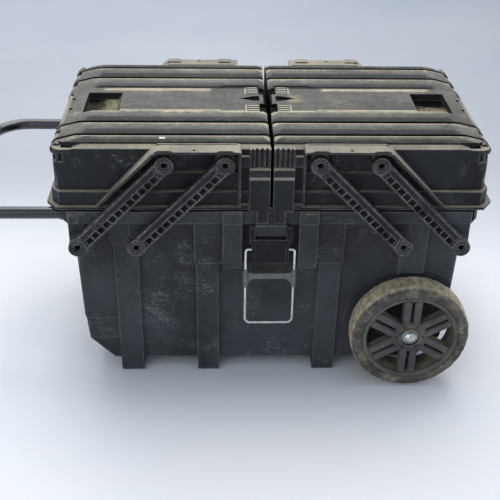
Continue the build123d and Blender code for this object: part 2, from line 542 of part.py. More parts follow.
SPOKES = [30 + 60 * i for i in range(6)]
with BuildPart() as front_wheel_rim:
    # barrel with a bead lip at each side
    with BuildSketch(WHEEL_PLANE):
        with BuildLine():
            Polyline((68.0, -191.4), (70.3, -193.2), (73.8, -193.2), (73.8, -191.0), (72.6, -190.0), (72.6, -154.0), (74.4, -153.0), (74.4, -150.6), (69.4, -150.6), (68.0, -152.0), (66.6, -172.0), close=True)
        make_face()
    revolve(axis=WHEEL_AXIS)
    # hub
    rods_y([(WHEEL_X, WHEEL_Z)], 17.0, -152.6, -192.0)
    rods_y([(WHEEL_X, WHEEL_Z)], 25.0, -173.0, -188.5)
    # six double-bar spokes, each bar with a raised middle
    for a in SPOKES:
        across([on_wheel(a, 14, -13.6), on_wheel(a, 68.6, -13.6), on_wheel(a, 68.6, 13.6), on_wheel(a, 14, 13.6)], -176.0, -189.4)
        for w in (-12.2, 3.6):
            across([on_wheel(a, 22, w), on_wheel(a, 66, w), on_wheel(a, 66, w + 8.6), on_wheel(a, 22, w + 8.6)], -189.0, -190.6)
    for a in SPOKES:
        across([on_wheel(a, 27, -2.3), on_wheel(a, 64.5, -2.3), on_wheel(a, 64.5, 2.3), on_wheel(a, 27, 2.3)], -170.0, -195.0, mode=Mode.SUBTRACT)
    # small holes in the hub, between the spokes
    rods_y([on_wheel(60 * i, 20.6, 0) for i in range(6)], 1.7, -165, -195, mode=Mode.SUBTRACT)
    # seat for the washer and cap nut, then the bore
    rods_y([(WHEEL_X, WHEEL_Z)], 14.0, -188.0, -197.0, mode=Mode.SUBTRACT)
    rods_y([(WHEEL_X, WHEEL_Z)], AXLE_R + 0.05, -140, -200, mode=Mode.SUBTRACT)
with BuildPart() as rear_wheel_rim:
    mirror(front_wheel_rim.part, about=Plane.XZ)
save("front_wheel_rim", front_wheel_rim.part)
save("rear_wheel_rim", rear_wheel_rim.part)

with BuildPart() as front_tyre:
    with BuildSketch(WHEEL_PLANE):
        with BuildLine():
            Polyline((72.6, -154.0), (72.6, -190.0), (73.8, -191.0), (73.8, -193.2), (77.5, -195.0), (85.0, -194.6))
            ThreePointArc((85.0, -194.6), (90.2, -192.2), (92.4, -186.5))
            Polyline((92.4, -186.5), (WHEEL_R, -180.0), (WHEEL_R, -164.0), (92.4, -157.5))
            ThreePointArc((92.4, -157.5), (90.2, -152.0), (85.0, -149.6))
            Polyline((85.0, -149.6), (78.0, -149.0), (74.4, -150.6), (74.4, -153.0), (72.6, -154.0))
        make_face()
    revolve(axis=WHEEL_AXIS)
with BuildPart() as rear_tyre:
    mirror(front_tyre.part, about=Plane.XZ)
save("front_tyre", front_tyre.part)
save("rear_tyre", rear_tyre.part)

with BuildPart() as axle:
    rods_y([(WHEEL_X, WHEEL_Z)], AXLE_R, -193.0, 193.0)
save("axle", axle.part)

with BuildPart() as axle_washers:
    for y in (-1, 1):
        rods_y([(WHEEL_X, WHEEL_Z)], 12.6, y * 188.2, y * 189.8)
        rods_y([(WHEEL_X, WHEEL_Z)], 15.0, y * 147.2, y * 152.2)
    rods_y([(WHEEL_X, WHEEL_Z)], AXLE_R, -195, 195, mode=Mode.SUBTRACT)
save("axle_washers", axle_washers.part)

DOME = (8.8**2 + 4.0**2) / (2 * 4.0)  # radius of the nut's spherical top
DOME_ANGLE = asin(8.8 / DOME)
with BuildPart() as axle_nuts:
    # domed cap nuts on the ends of the axle
    with BuildSketch(WHEEL_PLANE):
        with BuildLine():
            Polyline((0, -193.0), (AXLE_R, -193.0), (AXLE_R, -190.0), (9.8, -190.0), (9.8, -193.4), (8.8, -194.0))
            ThreePointArc((8.8, -194.0), (DOME * sin(DOME_ANGLE / 2), -198 + DOME - DOME * cos(DOME_ANGLE / 2)), (0, -198.0))
            Line((0, -198.0), (0, -193.0))
        make_face()
    revolve(axis=WHEEL_AXIS)
    mirror(about=Plane.XZ)
save("axle_nuts", axle_nuts.part)

# --------------------------------------------------------------- pull handle
with BuildPart() as pull_handle:
    with BuildLine(level(TUBE_Z)) as route:
        FilletPolyline((TUBE_END_X, -TUBE_Y), (CROSSBAR_X, -TUBE_Y), (CROSSBAR_X, TUBE_Y), (TUBE_END_X, TUBE_Y), radius=TUBE_BEND)
    with BuildSketch(Plane(origin=(X0 + TUBE_END_X, -TUBE_Y, Z0 + TUBE_Z), z_dir=(1, 0, 0))):
        Circle(TUBE_R)
        Circle(TUBE_R - TUBE_WALL, mode=Mode.SUBTRACT)
    sweep(path=route.line)
save("pull_handle", pull_handle.part)

with BuildPart() as handle_end_stops:
    for y in (-1, 1):
        rods_x([(y * TUBE_Y, TUBE_Z)], TUBE_R - TUBE_WALL, TUBE_END_X - 14, TUBE_END_X)
        rods_x([(y * TUBE_Y, TUBE_Z)], 9.8, TUBE_END_X, TUBE_END_X + 3.5)
save("handle_end_stops", handle_end_stops.part)

with BuildPart() as handle_guides:
    for y in (-1, 1):
        for x in (-304.0, -168.0):
            rods_x([(y * TUBE_Y, TUBE_Z)], 10.15, x, x + 28)
            rods_x([(y * TUBE_Y, TUBE_Z)], TUBE_R + 0.05, x - 1, x + 29, mode=Mode.SUBTRACT)
save("handle_guides", handle_guides.part)
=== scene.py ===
import math

import bmesh
import bpy
from mathutils import Matrix, Vector, noise


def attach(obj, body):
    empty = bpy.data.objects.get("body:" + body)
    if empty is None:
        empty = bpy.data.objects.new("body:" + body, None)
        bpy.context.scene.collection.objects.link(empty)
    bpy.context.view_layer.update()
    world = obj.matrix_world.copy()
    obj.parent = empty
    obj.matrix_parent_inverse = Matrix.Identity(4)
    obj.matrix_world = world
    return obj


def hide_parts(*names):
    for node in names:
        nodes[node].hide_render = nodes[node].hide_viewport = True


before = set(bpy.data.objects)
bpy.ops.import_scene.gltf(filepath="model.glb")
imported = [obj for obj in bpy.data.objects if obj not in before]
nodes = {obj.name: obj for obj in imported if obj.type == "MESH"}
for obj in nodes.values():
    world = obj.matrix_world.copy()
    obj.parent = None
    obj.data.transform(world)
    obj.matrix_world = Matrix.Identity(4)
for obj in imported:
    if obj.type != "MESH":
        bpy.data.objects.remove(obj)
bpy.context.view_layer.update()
scene = bpy.context.scene
scene.view_settings.view_transform = "Standard"
scene.view_settings.look = "None"
scene.view_settings.exposure = 0.0
scene.view_settings.gamma = 1.0


def lin(r, g, b):
    """An sRGB colour, 0 to 255, as a linear RGBA value."""
    def one(c):
        c /= 255.0
        return c / 12.92 if c <= 0.04045 else ((c + 0.055) / 1.055) ** 2.4
    return (one(r), one(g), one(b), 1.0)


# ------------------------------------------------------------------ camera
yaw, pitch, roll = 0.0376, 0.5379, -0.0184
fwd = Vector((math.sin(yaw) * math.cos(pitch), math.cos(yaw) * math.cos(pitch), -math.sin(pitch)))
right = Vector((math.cos(yaw), -math.sin(yaw), 0.0))
down = fwd.cross(right)
r2 = math.cos(roll) * right + math.sin(roll) * down
d2 = -math.sin(roll) * right + math.cos(roll) * down
cam_data = bpy.data.cameras.new("camera")
cam_data.sensor_width = 36.0
cam_data.sensor_fit = "HORIZONTAL"
cam_data.lens = 65.81
cam_data.clip_start, cam_data.clip_end = 0.01, 60.0
cam = bpy.data.objects.new("camera", cam_data)
scene.collection.objects.link(cam)
m = Matrix.Identity(4)
for i, axis in enumerate((r2, -d2, -fwd)):
    for k in range(3):
        m[k][i] = axis[k]
m.translation = Vector((0.00001, -1.33167, 0.93299))
cam.matrix_world = m
scene.camera = cam


# ---------------------------------------------------------- node shorthand
class Graph:
    """Builds a material's node tree. Every helper returns an output socket."""

    def __init__(self, name):
        self.mat = bpy.data.materials.new(name)
        self.mat.use_nodes = True
        self.t = self.mat.node_tree
        self.t.nodes.clear()
        self.out = self.t.nodes.new("ShaderNodeOutputMaterial")
        self.bsdf = self.t.nodes.new("ShaderNodeBsdfPrincipled")
        self.t.links.new(self.bsdf.outputs[0], self.out.inputs["Surface"])
        tc = self.t.nodes.new("ShaderNodeTexCoord")
        self.co, self.nor = tc.outputs["Object"], tc.outputs["Normal"]
        s = self.t.nodes.new("ShaderNodeSeparateXYZ")
        self.link(self.co, s.inputs[0])
        self.x, self.y, self.z = s.outputs
        s = self.t.nodes.new("ShaderNodeSeparateXYZ")
        self.link(self.nor, s.inputs[0])
        self.nx, self.ny, self.nz = s.outputs

    def link(self, a, b):
        self.t.links.new(a, b)

    def put(self, value, socket):
        if isinstance(value, bpy.types.NodeSocket):
            self.link(value, socket)
        else:
            socket.default_value = value

    def math(self, op, a, b=0.0, c=None, clamp=False):
        n = self.t.nodes.new("ShaderNodeMath")
        n.operation = op
        n.use_clamp = clamp
        self.put(a, n.inputs[0])
        self.put(b, n.inputs[1])
        if c is not None:
            self.put(c, n.inputs[2])
        return n.outputs[0]

    def mul(self, *vals):
        out = vals[0]
        for v in vals[1:]:
            out = self.math("MULTIPLY", out, v)
        return out

    def add(self, *vals, clamp=False):
        out = vals[0]
        for v in vals[1:]:
            out = self.math("ADD", out, v, clamp=clamp)
        return out

    def remap(self, v, a, b, lo=0.0, hi=1.0, smooth=True):
        n = self.t.nodes.new("ShaderNodeMapRange")
        n.interpolation_type = "SMOOTHSTEP" if smooth else "LINEAR"
        n.clamp = True
        self.put(v, n.inputs["Value"])
        for key, val in (("From Min", a), ("From Max", b), ("To Min", lo), ("To Max", hi)):
            self.put(val, n.inputs[key])
        return n.outputs["Result"]

    def vec(self, scale=(1, 1, 1), rot=(0, 0, 0), loc=(0, 0, 0)):
        n = self.t.nodes.new("ShaderNodeMapping")
        n.inputs["Scale"].default_value = scale
        n.inputs["Rotation"].default_value = rot
        n.inputs["Location"].default_value = loc
        self.link(self.co, n.inputs["Vector"])
        return n.outputs[0]

    def noise(self, scale, detail=3.0, rough=0.55, vec=None, distort=0.0):
        n = self.t.nodes.new("ShaderNodeTexNoise")
        n.inputs["Scale"].default_value = scale
        n.inputs["Detail"].default_value = detail
        n.inputs["Roughness"].default_value = rough
        n.inputs["Distortion"].default_value = distort
        self.link(vec or self.co, n.inputs["Vector"])
        return n.outputs[0]

    def cells(self, scale, vec=None, feature="F1", rand=1.0):
        n = self.t.nodes.new("ShaderNodeTexVoronoi")
        n.feature = feature
        n.inputs["Scale"].default_value = scale
        n.inputs["Randomness"].default_value = rand
        self.link(vec or self.co, n.inputs["Vector"])
        return n.outputs

    def mix(self, f, a, b):
        n = self.t.nodes.new("ShaderNodeMix")
        n.data_type = "RGBA"
        n.clamp_factor = True
        self.put(f, n.inputs[0])
        self.put(a, n.inputs[6])
        self.put(b, n.inputs[7])
        return n.outputs[2]

    def lerp(self, f, a, b):
        n = self.t.nodes.new("ShaderNodeMix")
        n.data_type = "FLOAT"
        n.clamp_factor = True
        self.put(f, n.inputs[0])
        self.put(a, n.inputs[2])
        self.put(b, n.inputs[3])
        return n.outputs[0]

    def curve(self, v, points):
        """A value along a row of (position, height) points."""
        n = self.t.nodes.new("ShaderNodeValToRGB")
        n.color_ramp.interpolation = "EASE"
        el = n.color_ramp.elements
        while len(el) < len(points):
            el.new(0.5)
        for e, (pos, height) in zip(el, points):
            e.position = pos
        for e, (pos, height) in zip(el, points):
            e.color = (height, height, height, 1.0)
        self.link(v, n.inputs[0])
        return n.outputs[0]

    def edge(self, radius, lo=0.015, hi=0.16, samples=4):
        """1 on convex and concave edges, from how far a rounded normal leaves the flat one."""
        bev = self.t.nodes.new("ShaderNodeBevel")
        bev.samples = samples
        bev.inputs["Radius"].default_value = radius
        geo = self.t.nodes.new("ShaderNodeNewGeometry")
        dot = self.t.nodes.new("ShaderNodeVectorMath")
        dot.operation = "DOT_PRODUCT"
        self.link(bev.outputs[0], dot.inputs[0])
        self.link(geo.outputs["Normal"], dot.inputs[1])
        gap = self.math("SUBTRACT", 1.0, dot.outputs["Value"])
        return self.remap(gap, lo, hi), bev.outputs[0]

    def wear_highlight_band(self, radius, lo=0.002, hi=0.045):
        """1 close to an edge, over a wider band than the edge's own rounding."""
        return self.edge(radius, lo, hi, 3)[0]

    def cavity(self, distance, samples=4):
        ao = self.t.nodes.new("ShaderNodeAmbientOcclusion")
        ao.samples = samples
        ao.inputs["Distance"].default_value = distance
        return ao.outputs["AO"]

    def bump(self, height, strength, distance, normal=None):
        n = self.t.nodes.new("ShaderNodeBump")
        n.inputs["Strength"].default_value = strength
        n.inputs["Distance"].default_value = distance
        self.link(height, n.inputs["Height"])
        if normal is not None:
            self.link(normal, n.inputs["Normal"])
        return n.outputs[0]

    def set(self, **kw):
        for key, val in kw.items():
            self.put(val, self.bsdf.inputs[key.replace("_", " ")])
        return self.mat

    # ready-made masks
    def specks(self, scale, size, share):
        """Small round specks: cells whose middle is near, on a share of the cells."""
        out = self.cells(scale)
        dist, col = out["Distance"], out["Color"]
        s = self.t.nodes.new("ShaderNodeSeparateColor")
        self.link(col, s.inputs[0])
        near = self.remap(dist, size * 0.5, size, 1.0, 0.0)
        return self.mul(near, self.math("GREATER_THAN", s.outputs[0], 1.0 - share))

    def scratches(self, seed, angle, length=34.0, fine=430.0, width=0.04, share=0.5):
        """Short thin scratches in the X and Z directions, turned by angle, in scattered groups."""
        v = self.vec(scale=(length, fine * 0.2, fine), rot=(0, angle, 0), loc=(seed, seed * 0.7, seed * 1.3))
        line = self.noise(1.0, 2.0, 0.5, v, 0.0)
        ridge = self.math("ABSOLUTE", self.math("SUBTRACT", line, 0.5))
        thin = self.remap(ridge, 0.0, width * 0.3, 1.0, 0.0)
        where = self.remap(self.noise(15.0, 5.0, 0.7, self.vec(loc=(seed, 3 * seed, 0))), 0.62 - 0.1 * share, 0.70, 0.0, 1.0)
        return self.mul(thin, where)


def plastic(name, base, dust, dust_level, scuff=1.0, edge_wear_highlight_level=0.6, rough=0.5, seed=0.0, bevel=0.0009, wear_highlight_band=0.0026, edge_wear_highlight_tint=None,
            spec=0.35, dust_from=0.45, dust_to=0.95, extra=None, grain=1.0, dark=None):
    """Moulded dark plastic: grain, faint mottling, scuffs, scratches, specks, rubbed edges that are partly a painted
    edge highlight, dust on what faces up, and near-black painted shade where a dark mask is given.
    """
    g = Graph(name)
    big = g.noise(5.5, 4.0, 0.6, g.vec(loc=(seed, seed, seed)))
    fine = g.noise(70.0, 4.0, 0.6, g.vec(loc=(seed, 0, seed)))
    b0 = tuple(c * 0.62 for c in base[:3]) + (1.0,)
    b1 = tuple(min(1.0, c * 1.7) for c in base[:3]) + (1.0,)
    col = g.mix(g.remap(big, 0.3, 0.7), b0, b1)
    col = g.mix(g.mul(g.remap(fine, 0.45, 0.75), 0.3), col, b1)
    # cloudy scuffs, fine scratches and specks
    patch = g.remap(g.noise(9.0, 7.0, 0.7, g.vec(loc=(seed * 2 + 1, 4, seed)), 0.5), 0.54, 0.72)
    grit = g.remap(g.noise(330.0, 4.0, 0.75), 0.44, 0.66)
    cloud = g.mul(patch, grit, 0.75 * scuff)
    lines = g.add(
        g.scratches(seed + 1.3, 0.35), g.scratches(seed + 4.1, -0.55), g.scratches(seed + 7.7, 1.25, 26.0),
        g.scratches(seed + 2.9, 0.05, 20.0, 380.0), clamp=True
    )
    lines = g.mul(lines, 0.7 * scuff)
    dots = g.add(g.specks(95.0, 0.085, 0.06), g.specks(36.0, 0.05, 0.14), clamp=True)
    dots = g.mul(dots, g.remap(g.noise(400.0, 2.0, 0.6), 0.4, 0.6, 0.3, 1.0), 0.8 * scuff)
    pale = lin(168, 168, 164)
    col = g.mix(cloud, col, lin(136, 137, 137))
    col = g.mix(lines, col, pale)
    col = g.mix(dots, col, lin(196, 194, 188))
    # rubbed edges: pale partly from wear and partly as a painted edge highlight
    edge, bev = g.edge(bevel)
    pale_mark = g.wear_highlight_band(wear_highlight_band)
    broken = g.remap(g.noise(34.0, 6.0, 0.72, g.vec(loc=(seed, 9, 2))), 0.34, 0.62, 0.22, 1.0)
    col = g.mix(g.mul(pale_mark, broken, edge_wear_highlight_level), col, edge_wear_highlight_tint or lin(122, 118, 110))
    # dust
    up = g.remap(g.nz, dust_from, dust_to)
    vary = g.remap(g.noise(13.0, 6.0, 0.62, g.vec(loc=(1, seed, 3))), 0.25, 0.72, 0.45, 1.0)
    settle = g.remap(g.noise(150.0, 3.0, 0.6), 0.25, 0.75, 0.8, 1.0)
    level = g.mul(up, vary, settle, dust_level)
    if extra is not None:
        level = extra(g, level)
    col = g.mix(level, col, dust)
    shine = spec
    # painted shade: near-black, without shine, where the dark mask lies
    if dark is not None:
        painted_shade_under_lid = dark(g)
        col = g.mix(g.mul(painted_shade_under_lid, 0.95), col, lin(9, 9, 9))
        shine = g.lerp(painted_shade_under_lid, spec, 0.0)
    r = g.add(rough, g.mul(g.math("SUBTRACT", fine, 0.5), 0.22), g.mul(level, 0.35), g.mul(cloud, 0.25), clamp=True)
    tex = g.add(g.mul(g.noise(1500.0, 2.0, 0.6), 0.5 * grain), g.mul(lines, -0.6), g.mul(g.noise(160.0, 3.0, 0.6), 0.5), g.mul(level, g.noise(420.0, 3.0, 0.7)))
    g.set(Base_Color=col, Roughness=r, Specular_IOR_Level=shine, Normal=g.bump(tex, 0.32, 0.00035, bev))
    return g.mat


BEIGE = lin(138, 131, 112)
GREY_DUST = lin(104, 101, 92)


def lid_material(side):
    """Lids: dust and painted light on the back of each ridge, thin dust and painted shade in front, grooves painted
    black as shade, sand in the finger pocket with painted shade at its back.
    """
    left = side == "left"
    g = Graph(f"{side}_lid_dusty_plastic")
    seed = 2.0 if left else 6.5
    off = g.vec(loc=(seed, seed * 0.3, 0))
    big = g.noise(6.0, 5.0, 0.6, off)
    mid = g.noise(26.0, 6.0, 0.7, off)
    fine = g.noise(110.0, 5.0, 0.7, off)
    px = g.math("ABSOLUTE", g.math("SUBTRACT", g.x, 0.073))
    # wiped along the ridges, so the dust is faintly streaky in X
    streak = g.noise(1.0, 5.0, 0.7, g.vec(scale=(26.0, 170.0, 60.0), loc=(seed, 2, 1)))
    black = g.mix(g.remap(big, 0.35, 0.7), lin(27, 28, 30), lin(40, 40, 41))
    up = g.remap(g.nz, 0.3, 0.85)
    # each ridge is paler towards its back, partly from more dust and partly as painted light and shade of its slopes: a
    # dark front slope, a grey top and a beige back slope
    ridge_points = [(0.0, 0.0), (0.11, 0.01), (0.22, 0.07), (0.33, 0.30), (0.50, 0.42), (0.62, 0.50), (0.71, 0.82), (0.95, 1.0)]
    level = None
    for y0, y1 in ((-0.1345, -0.0885), (-0.0885, -0.0460), (0.0455, 0.0937), (0.0937, 0.140)):
        inside = g.mul(g.math("GREATER_THAN", g.y, y0), g.math("LESS_THAN", g.y, y1))
        one = g.mul(inside, g.curve(g.remap(g.y, y0, y1, 0.0, 1.0, smooth=False), ridge_points))
        level = one if level is None else g.add(level, one)
    # the front lip is paler where it faces back than where it faces forward: partly dust, partly painted light and
    # shade
    lip = g.mul(g.math("LESS_THAN", g.y, -0.1345), g.remap(g.ny, -0.35, 0.1, 0.40, 0.86))
    back = g.mul(g.math("GREATER_THAN", g.y, 0.140), g.remap(g.y, 0.141, 0.153, 0.05, 0.42))
    # the panel is painted dark at its front edge as shade and pale at its back edge as painted light with dust
    panel_points = [(0.0, 0.02), (0.05, 0.05), (0.09, 0.28), (0.30, 0.33), (0.84, 0.36), (0.91, 0.85), (1.0, 1.0)]
    narrow = g.mul(g.remap(px, 0.084, 0.092), g.remap(px, 0.262, 0.250))
    in_panel = g.mul(g.math("GREATER_THAN", g.y, -0.0460), g.math("LESS_THAN", g.y, 0.0455))
    across_panel = g.curve(g.remap(g.y, -0.0460, 0.0455, 0.0, 1.0, smooth=False), panel_points)
    panel = g.mul(in_panel, g.lerp(narrow, 0.32, across_panel))
    level = g.add(level, lip, back, panel)
    # the ends of the ridges and the outer slopes are evenly grey
    ends = g.remap(px, 0.262, 0.278)
    level = g.lerp(g.mul(ends, 0.75), level, 0.42)
    level = g.mul(level, g.remap(streak, 0.28, 0.72, 0.74, 1.16), g.remap(fine, 0.28, 0.72, 0.84, 1.14))
    level = g.mul(level, g.remap(mid, 0.3, 0.7, 0.80, 1.14), g.remap(big, 0.25, 0.75, 0.84, 1.12), up)
    mottle = g.mul(g.remap(g.noise(170.0, 5.0, 0.75, off), 0.3, 0.7, 0.72, 1.24), g.remap(g.noise(48.0, 5.0, 0.7, off), 0.3, 0.7, 0.84, 1.14))
    level = g.mul(level, mottle)
    # a bright line on each back slope and on the panel's borders, partly packed dust and partly a painted highlight,
    # and a painted shadow line under the step in front of the panel
    packed_dust_and_highlight = None
    for yc in (-0.1345, -0.0885, 0.0937, 0.140):
        one = g.mul(g.remap(g.y, yc - 0.0165, yc - 0.0125), g.remap(g.y, yc - 0.0056, yc - 0.0040, 1.0, 0.0))
        packed_dust_and_highlight = one if packed_dust_and_highlight is None else g.math("MAXIMUM", packed_dust_and_highlight, one)
    for yc in (-0.0515, 0.0408):
        one = g.mul(g.remap(g.y, yc - 0.0052, yc - 0.0038), g.remap(g.y, yc + 0.0036, yc + 0.0050, 1.0, 0.0), narrow)
        packed_dust_and_highlight = g.math("MAXIMUM", packed_dust_and_highlight, g.mul(one, 0.9))
    packed_dust_and_highlight = g.mul(packed_dust_and_highlight, g.remap(g.z, 0.4078, 0.4092), g.remap(px, 0.262, 0.246), g.remap(mid, 0.3, 0.6, 0.55, 1.0))
    step = g.mul(g.remap(g.math("ABSOLUTE", g.math("SUBTRACT", g.y, -0.0440)), 0.0030, 0.0016), narrow)
    grooves = None
    for yc in (-0.1345, -0.0885, 0.0937, 0.140):
        d = g.math("ABSOLUTE", g.math("SUBTRACT", g.y, yc))
        one = g.remap(d, 0.0030, 0.0046, 1.0, 0.0)
        grooves = one if grooves is None else g.math("MAXIMUM", grooves, one)
    grooves = g.mul(grooves, g.remap(g.z, 0.4082, 0.4096, 1.0, 0.0))
    # the catch openings beside the seam and the arrow, painted near-black as shade
    middle = g.mul(g.remap(px, 0.050, 0.046), g.remap(g.math("ABSOLUTE", g.y), 0.049, 0.046), g.remap(g.z, 0.4092, 0.4078))
    reach = g.math("MINIMUM", g.mul(g.math("SUBTRACT", 0.0435, px), 0.44), 0.0100)
    arrow = g.mul(g.math("LESS_THAN", g.math("ABSOLUTE", g.math("SUBTRACT", g.y, 0.0035)), reach), g.math("GREATER_THAN", px, 0.0125))
    middle = g.math("MAXIMUM", middle, g.mul(arrow, 0.9))
    # grooves, openings, arrow and the step line: no dust, and painted near-black as shade
    painted_shade_no_dust = g.math("MAXIMUM", g.math("MAXIMUM", grooves, middle), g.mul(step, 0.85))
    level = g.mul(level, g.math("SUBTRACT", 1.0, g.mul(painted_shade_no_dust, 0.96)))
    beige = g.mix(g.remap(g.noise(22.0, 5.0, 0.6, off), 0.3, 0.7), lin(156, 148, 129), lin(184, 172, 147))
    dust = g.mix(g.remap(level, 0.35, 0.85), lin(142, 138, 127), beige)
    # painted shade: near-black in the grooves, the openings, the arrow and under the step
    col = g.mix(g.mul(painted_shade_no_dust, 0.85), black, lin(12, 12, 13))
    # scuffs
    patch = g.mul(g.remap(g.noise(14.0, 6.0, 0.7, off, 0.4), 0.56, 0.76), g.remap(g.noise(300.0, 4.0, 0.75), 0.44, 0.66))
    col = g.mix(g.mul(patch, 0.45), col, lin(112, 111, 106))
    col = g.mix(level, col, dust)
    # painted highlight with packed dust on the back slopes
    col = g.mix(g.mul(packed_dust_and_highlight, 0.62), col, lin(156, 148, 126))
    # the raised ribs beside the catch openings, and a bar beside them, are painted pale
    ribs = g.mul(g.remap(g.z, 0.4098, 0.4104), g.remap(px, 0.0325, 0.0310), g.remap(px, 0.0145, 0.0155))
    bar = g.mul(g.remap(g.math("ABSOLUTE", g.math("SUBTRACT", px, 0.0340)), 0.0016, 0.0008), g.remap(g.math("ABSOLUTE", g.y), 0.020, 0.024))
    ribs = g.mul(g.math("MAXIMUM", ribs, g.mul(bar, 0.8)), g.math("GREATER_THAN", g.y, -0.0560), g.math("LESS_THAN", g.y, 0.0490))
    ribs = g.mul(ribs, g.remap(g.math("ABSOLUTE", g.y), 0.0195, 0.0225))
    col = g.mix(g.mul(ribs, 0.66), col, lin(186, 179, 162))
    if left:
        # a small white chip of paint on the front edge
        chip = g.mul(g.remap(g.math("ABSOLUTE", g.add(g.x, 0.0816)), 0.0046, 0.0036), g.remap(g.y, -0.1510, -0.1505), g.remap(g.y, -0.1484, -0.1490), g.remap(fine, 0.42, 0.5))
        col = g.mix(chip, col, lin(238, 237, 232))
    # rubbed and dusty edges: pale partly from wear and dust, partly as a painted edge highlight
    edge, bev = g.edge(0.0008)
    pale_mark = g.wear_highlight_band(0.0022)
    broken = g.remap(g.noise(45.0, 5.0, 0.7, off), 0.34, 0.62, 0.25, 1.0)
    col = g.mix(g.mul(pale_mark, broken, g.math("SUBTRACT", 1.0, painted_shade_no_dust), 0.6), col, lin(146, 140, 124))
    # a fan of dust in front of each arrow
    if not left:
        fan = g.mul(g.remap(px, 0.044, 0.060, 1.0, 0.0), g.remap(px, 0.028, 0.036), g.remap(g.math("ABSOLUTE", g.math("SUBTRACT", g.y, 0.004)), 0.022, 0.006))
        col = g.mix(g.mul(fan, g.math("SUBTRACT", 1.0, middle), g.remap(mid, 0.35, 0.65, 0.2, 0.8)), col, lin(150, 137, 108))
    # sand lying in the finger pocket
    pocket = g.mul(g.remap(px, 0.222, 0.230), g.remap(px, 0.2765, 0.2782, 1.0, 0.0), g.remap(g.y, -0.056, -0.0535), g.remap(g.y, 0.0245, 0.027, 1.0, 0.0))
    pocket = g.mul(pocket, g.remap(g.z, 0.4035, 0.4070, 1.0, 0.0), g.remap(g.nz, 0.05, 0.35))
    lump = g.mul(g.math("SUBTRACT", g.noise(62.0, 5.0, 0.75), 0.5), 2.4)
    if left:
        heap = g.remap(g.add(g.mul(g.math("SUBTRACT", 0.2480, px), 60.0), g.mul(g.math("SUBTRACT", g.y, -0.020), 6.0), lump), -0.5, 0.7)
    else:
        heap = g.remap(g.add(g.mul(g.math("SUBTRACT", -0.012, g.y), 38.0), lump), -0.6, 0.5)
    grains = g.noise(290.0, 4.0, 0.75, off)
    sand = g.mix(g.remap(grains, 0.32, 0.68), lin(78, 72, 60), lin(146, 137, 114))
    bare = g.mix(g.remap(mid, 0.3, 0.7), lin(30, 30, 30), lin(64, 62, 57))
    # painted shade: the back of the pocket darkens to near-black
    shade = g.remap(g.add(g.y, g.mul(g.math("SUBTRACT", g.noise(40.0, 4.0, 0.6), 0.5), 0.02)), 0.002 if left else -0.012, 0.018 if left else 0.004)
    bare = g.mix(shade, bare, lin(12, 12, 12))
    col = g.mix(pocket, col, g.mix(heap, bare, sand))
    spill = g.mul(g.specks(230.0, 0.16, 0.30), g.remap(g.noise(16.0, 4.0, 0.6, off), 0.5, 0.64), up, 0.5)
    col = g.mix(spill, col, lin(152, 138, 108))
    lines = g.mul(g.scratches(seed + 2.2, 0.0, 30.0), 0.5)
    turned = g.vec(scale=(30.0, 430.0, 80.0), rot=(0, 0, 0.5), loc=(seed, 1, 5))
    ridge = g.math("ABSOLUTE", g.math("SUBTRACT", g.noise(1.0, 2.0, 0.5, turned), 0.5))
    across = g.mul(g.remap(ridge, 0.0, 0.012, 1.0, 0.0), g.remap(g.noise(12.0, 4.0, 0.7, off), 0.56, 0.68), 0.5)
    col = g.mix(g.add(lines, across, clamp=True), col, lin(156, 152, 142))
    dots = g.mul(g.add(g.specks(95.0, 0.08, 0.06), g.specks(36.0, 0.045, 0.12), clamp=True), 0.6)
    col = g.mix(dots, col, lin(192, 188, 176))
    r = g.add(0.58, g.mul(level, 0.36), g.mul(pocket, 0.3), g.mul(painted_shade_no_dust, 0.3), clamp=True)
    shine = g.lerp(g.math("MAXIMUM", painted_shade_no_dust, pocket), 0.16, 0.0)
    tex = g.add(g.mul(g.noise(1300.0, 2.0, 0.6), 0.4), g.mul(level, g.noise(380.0, 4.0, 0.7)), g.mul(pocket, heap, grains, 4.0), g.mul(lines, -0.5))
    g.set(Base_Color=col, Roughness=r, Specular_IOR_Level=shine, Normal=g.bump(tex, 0.4, 0.0005, bev))
    return g.mat


# ----------------------------------------------------------------- materials
def rim_material():
    g = Graph("rim_dusty_plastic")
    n1 = g.noise(24.0, 5.0, 0.62)
    n2 = g.noise(150.0, 4.0, 0.65)
    col = g.mix(g.remap(n1, 0.3, 0.7), lin(64, 64, 64), lin(88, 86, 84))
    # distance from the axle
    dx = g.math("SUBTRACT", g.x, 0.294)
    dz = g.math("SUBTRACT", g.z, 0.093)
    rad = g.math("SQRT", g.add(g.mul(dx, dx), g.mul(dz, dz)))
    out = g.math("ABSOLUTE", g.y)
    # dirt lies on the inside of the barrel and between the spokes
    deep = g.remap(out, 0.1895, 0.180)
    outer = g.remap(rad, 0.050, 0.068)
    dirt = g.mul(g.add(g.mul(deep, 0.75), g.mul(outer, 0.25), clamp=True), g.remap(n1, 0.3, 0.66, 0.35, 1.0))
    hub = g.mul(g.remap(rad, 0.027, 0.018), g.remap(n1, 0.35, 0.6), 0.4)
    col = g.mix(g.add(dirt, hub, clamp=True), col, lin(142, 128, 105))
    edge, bev = g.edge(0.0009)
    # pale edges: partly wear, partly a painted edge highlight
    col = g.mix(g.mul(edge, g.remap(n2, 0.35, 0.6, 0.3, 1.0), 0.5), col, lin(124, 118, 108))
    col = g.mix(g.mul(g.specks(120.0, 0.07, 0.14), 0.6), col, lin(160, 150, 132))
    # painted shade: darker in the crevices, by ambient occlusion
    ao = g.cavity(0.012)
    col = g.mix(g.remap(ao, 0.15, 0.6, 0.4, 0.0), col, lin(22, 21, 20))
    tex = g.add(n2, g.mul(g.noise(900.0, 2.0, 0.6), 0.4))
    g.set(Base_Color=col, Roughness=g.remap(n2, 0.3, 0.7, 0.6, 0.85), Specular_IOR_Level=0.3, Normal=g.bump(tex, 0.4, 0.0004, bev))
    return g.mat


